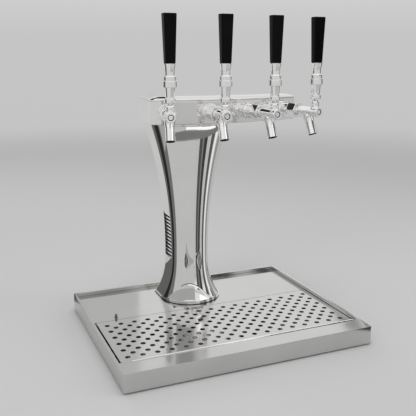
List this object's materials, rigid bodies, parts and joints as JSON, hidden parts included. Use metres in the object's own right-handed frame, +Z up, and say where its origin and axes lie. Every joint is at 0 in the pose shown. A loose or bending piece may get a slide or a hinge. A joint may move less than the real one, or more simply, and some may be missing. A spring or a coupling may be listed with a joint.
{
  "type": "draft beer tower",
  "caption": "Flared column on a drip tray with a lift-out perforated grille, carrying a bow-front head with a row of lever-handled beer taps.",
  "frame": {"origin": "middle of the tray's footprint, on the surface that the feet stand on", "axes": "+Z up, -Y towards the drinker's side where the taps are, +X to the right seen from the front"},
  "size_m": [0.525, 0.424, 0.655],
  "materials": {
    "polished_steel": "polished",
    "chrome": "polished",
    "satin_steel": "satin",
    "plain_steel": "plain",
    "black_rubber": "matte",
    "black_grip": "satin black",
    "foam": "foamed",
    "line_plastic": "translucent white"
  },
  "bodies": {
    "tower": {"tray_pan": "satin_steel", "tray_feet": "black_rubber", "ledge_left": "plain_steel", "ledge_right": "plain_steel", "ledge_front": "plain_steel", "cross_bar": "plain_steel", "rear_deck": "satin_steel", "deck_lift_pin": "plain_steel", "drain_bush": "plain_steel", "line_grommet": "black_rubber", "foot_gasket": "black_rubber", "foot_ring": "polished_steel", "base_plate": "plain_steel", "pedestal_posts": "plain_steel", "column_bolts": "plain_steel", "column_shell": "polished_steel", "mast": "plain_steel", "head_mount_plate": "plain_steel", "head_screws": "plain_steel", "line_insulation": "foam", "head_shell": "polished_steel", "head_lid": "polished_steel", "lid_screws": "plain_steel", "beer_line_1": "line_plastic", "beer_line_2": "line_plastic", "beer_line_3": "line_plastic", "beer_line_4": "line_plastic", "tap_shank_1": "chrome", "tap_shank_2": "chrome", "tap_shank_3": "chrome", "tap_shank_4": "chrome", "shank_locknuts": "plain_steel", "coupling_washers": "black_rubber", "lever_pins": "plain_steel", "coupling_nut_1": "chrome", "coupling_nut_2": "chrome", "coupling_nut_3": "chrome", "coupling_nut_4": "chrome", "faucet_body_1": "chrome", "faucet_body_2": "chrome", "faucet_body_3": "chrome", "faucet_body_4": "chrome"},
    "grille": {"drip_grille": "satin_steel"},
    "lever_1": {"faucet_lever_1": "chrome", "handle_ferrule_1": "chrome", "handle_grip_1": "black_grip"},
    "plunger_1": {"plunger_1": "chrome"},
    "lever_2": {"faucet_lever_2": "chrome", "handle_ferrule_2": "chrome", "handle_grip_2": "black_grip"},
    "plunger_2": {"plunger_2": "chrome"},
    "lever_3": {"faucet_lever_3": "chrome", "handle_ferrule_3": "chrome", "handle_grip_3": "black_grip"},
    "plunger_3": {"plunger_3": "chrome"},
    "lever_4": {"faucet_lever_4": "chrome", "handle_ferrule_4": "chrome", "handle_grip_4": "black_grip"},
    "plunger_4": {"plunger_4": "chrome"}
  },
  "joints": [
    {"name": "grille_lift", "type": "slide", "parent": "tower", "child": "grille", "axis": [0, 0, 1], "range_m": [0, 0.12]},
    {"name": "lever_swing_1", "type": "hinge", "parent": "tower", "child": "lever_1", "pos_m": [-0.11145, -0.04994, 0.483], "axis": [0.9659, -0.2588, 0], "range_deg": [0, 25]},
    {"name": "plunger_slide_1", "type": "slide", "parent": "tower", "child": "plunger_1", "axis": [0.2588, 0.9659, 0], "range_m": [0, 0.0056]},
    {"name": "lever_swing_2", "type": "hinge", "parent": "tower", "child": "lever_2", "pos_m": [-0.00536, -0.06865, 0.483], "axis": [0.9962, -0.0872, 0], "range_deg": [0, 25]},
    {"name": "plunger_slide_2", "type": "slide", "parent": "tower", "child": "plunger_2", "axis": [0.0872, 0.9962, 0], "range_m": [0, 0.0056]},
    {"name": "lever_swing_3", "type": "hinge", "parent": "tower", "child": "lever_3", "pos_m": [0.10236, -0.06865, 0.483], "axis": [0.9962, 0.0872, 0], "range_deg": [0, 25]},
    {"name": "plunger_slide_3", "type": "slide", "parent": "tower", "child": "plunger_3", "axis": [-0.0872, 0.9962, 0], "range_m": [0, 0.0056]},
    {"name": "lever_swing_4", "type": "hinge", "parent": "tower", "child": "lever_4", "pos_m": [0.20845, -0.04994, 0.483], "axis": [0.9659, 0.2588, 0], "range_deg": [0, 25]},
    {"name": "plunger_slide_4", "type": "slide", "parent": "tower", "child": "plunger_4", "axis": [-0.2588, 0.9659, 0], "range_m": [0, 0.0056]}
  ],
  "couplings": [
    {"joint": "plunger_slide_1", "follows": "lever_swing_1", "m_per_rad": 0.0125},
    {"joint": "plunger_slide_2", "follows": "lever_swing_2", "m_per_rad": 0.0125},
    {"joint": "plunger_slide_3", "follows": "lever_swing_3", "m_per_rad": 0.0125},
    {"joint": "plunger_slide_4", "follows": "lever_swing_4", "m_per_rad": 0.0125}
  ]
}
